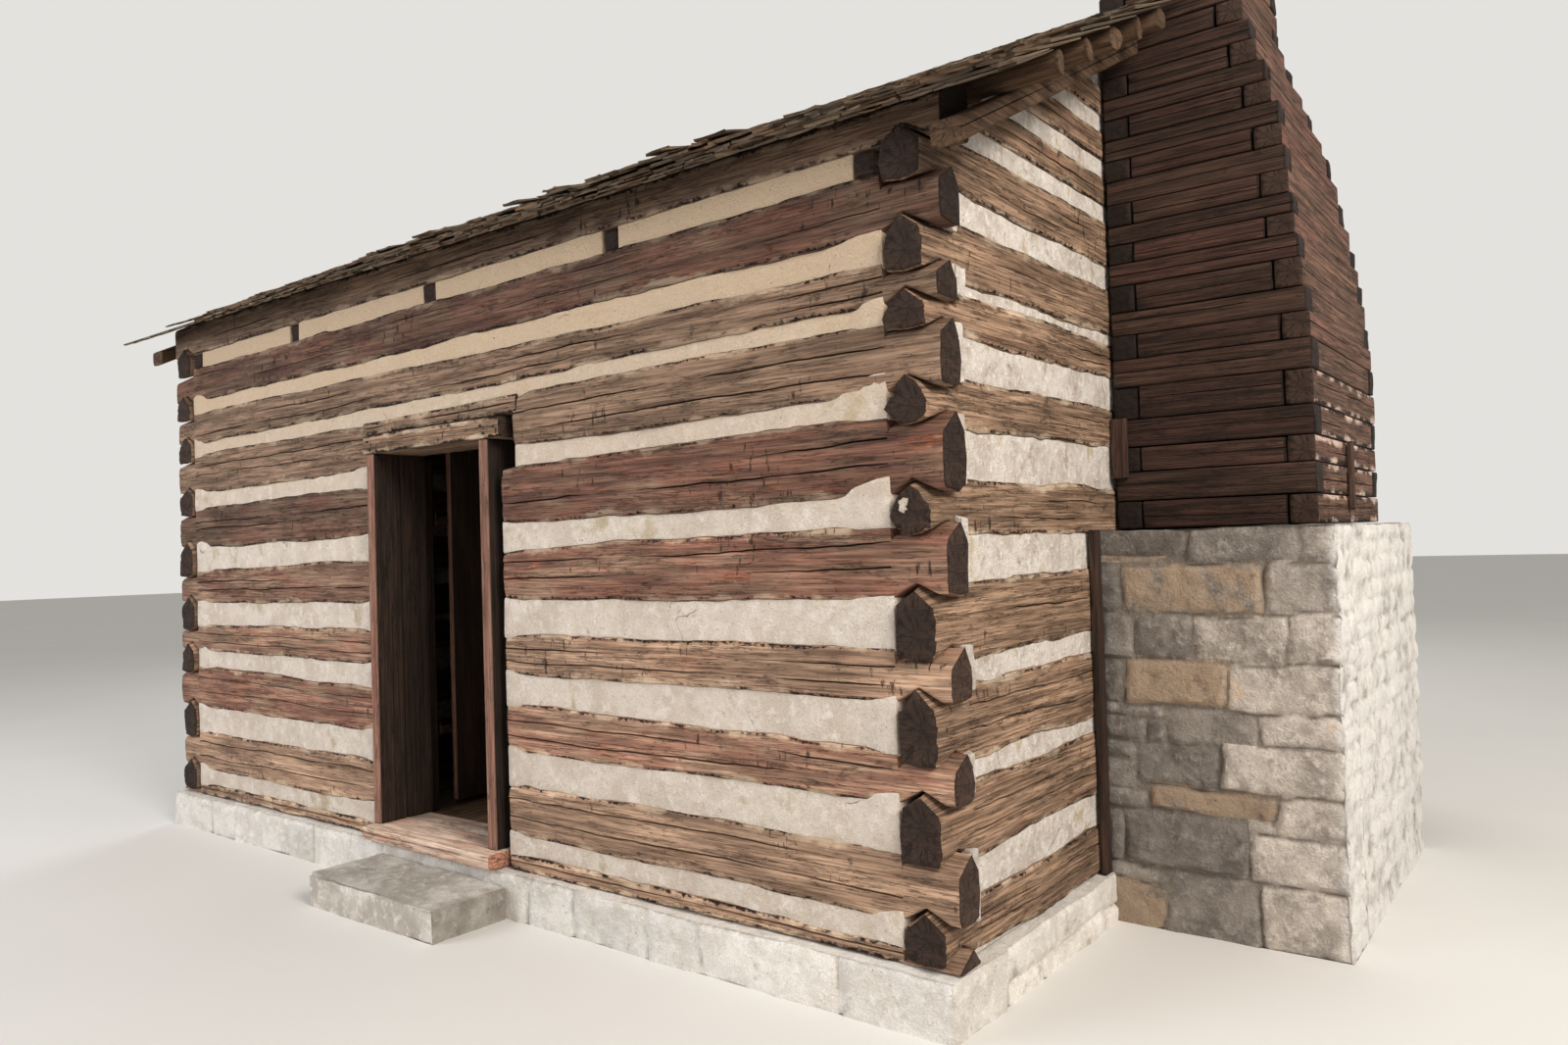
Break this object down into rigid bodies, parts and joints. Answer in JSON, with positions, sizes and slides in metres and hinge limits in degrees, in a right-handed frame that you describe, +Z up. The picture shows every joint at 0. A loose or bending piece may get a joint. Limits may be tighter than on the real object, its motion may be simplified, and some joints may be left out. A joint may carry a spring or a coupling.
{
  "type": "one-room hewn-log cabin with stone chimney base and timber stack",
  "caption": "Small hewn-log cabin with V-notched corners, clay chinking, a plank door standing open, a shake roof and a timber chimney stack on a stone base.",
  "frame": {"origin": "on the ground, under the middle of the overall box", "axes": "+X along the front wall to the chimney end, +Y from the front wall to the rear wall, +Z up"},
  "size_m": [6.59, 5.0558, 4.636],
  "materials": {
    "foundation_stone": "whitewashed rubble laid in pale mortar",
    "chimney_stone": "grey and ochre rubble laid in grey-brown mortar",
    "step_stone": "worn slab, pale on its front",
    "hewn_log": "hewn and weathered, grey-brown with red-brown patches",
    "clay": "trowelled pale clay, cracked",
    "door_wood": "dark sawn boards",
    "threshold_wood": "pale worn plank",
    "floor_wood": "worn split planks",
    "stack_timber": "dark riven timbers, reddish where lit",
    "shake": "thin split shakes, grey-brown, uneven",
    "pole": "peeled poles",
    "iron": "black wrought iron"
  },
  "bodies": {
    "root": {"foundation_front": "foundation_stone", "foundation_rear": "foundation_stone", "foundation_left": "foundation_stone", "foundation_right": "foundation_stone", "chimney_hearth": "chimney_stone", "chimney_back": "chimney_stone", "chimney_breast": "chimney_stone", "chimney_cheeks": "chimney_stone", "step_stone": "step_stone", "front_logs_left": "hewn_log", "front_logs_right": "hewn_log", "front_logs_upper": "hewn_log", "rear_logs": "hewn_log", "front_plate": "hewn_log", "rear_plate": "hewn_log", "left_gable_logs": "hewn_log", "right_gable_logs_lower": "hewn_log", "right_gable_logs_upper": "hewn_log", "left_peak_logs": "hewn_log", "right_peak_logs": "hewn_log", "ceiling_joists": "hewn_log", "front_clay": "clay", "rear_clay": "clay", "left_gable_clay": "clay", "right_gable_clay": "clay", "door_jamb_left": "door_wood", "door_jamb_right": "door_wood", "door_head": "door_wood", "door_post": "door_wood", "threshold": "threshold_wood", "floor": "floor_wood", "stack_cross_timbers": "stack_timber", "stack_side_fillers": "stack_timber", "stack_side_timbers": "stack_timber", "stack_cross_fillers": "stack_timber", "stack_cleat": "stack_timber", "stack_corner_board": "stack_timber", "wall_joint_strip": "stack_timber", "roof_front": "shake", "roof_rear": "shake", "roof_rake_front": "shake", "roof_rake_rear": "shake", "roof_poles": "pole", "ridge_pole": "pole", "rake_rafters": "pole", "door_pintles": "iron"},
    "door": {"door_planks": "door_wood", "door_ledges": "door_wood", "door_straps": "iron"}
  },
  "joints": [
    {"name": "door_hinge", "type": "hinge", "parent": "root", "child": "door", "pos_m": [-0.885, -1.67894, 1.19], "axis": [0, 0, 1], "range_deg": [-90, 80]}
  ]
}
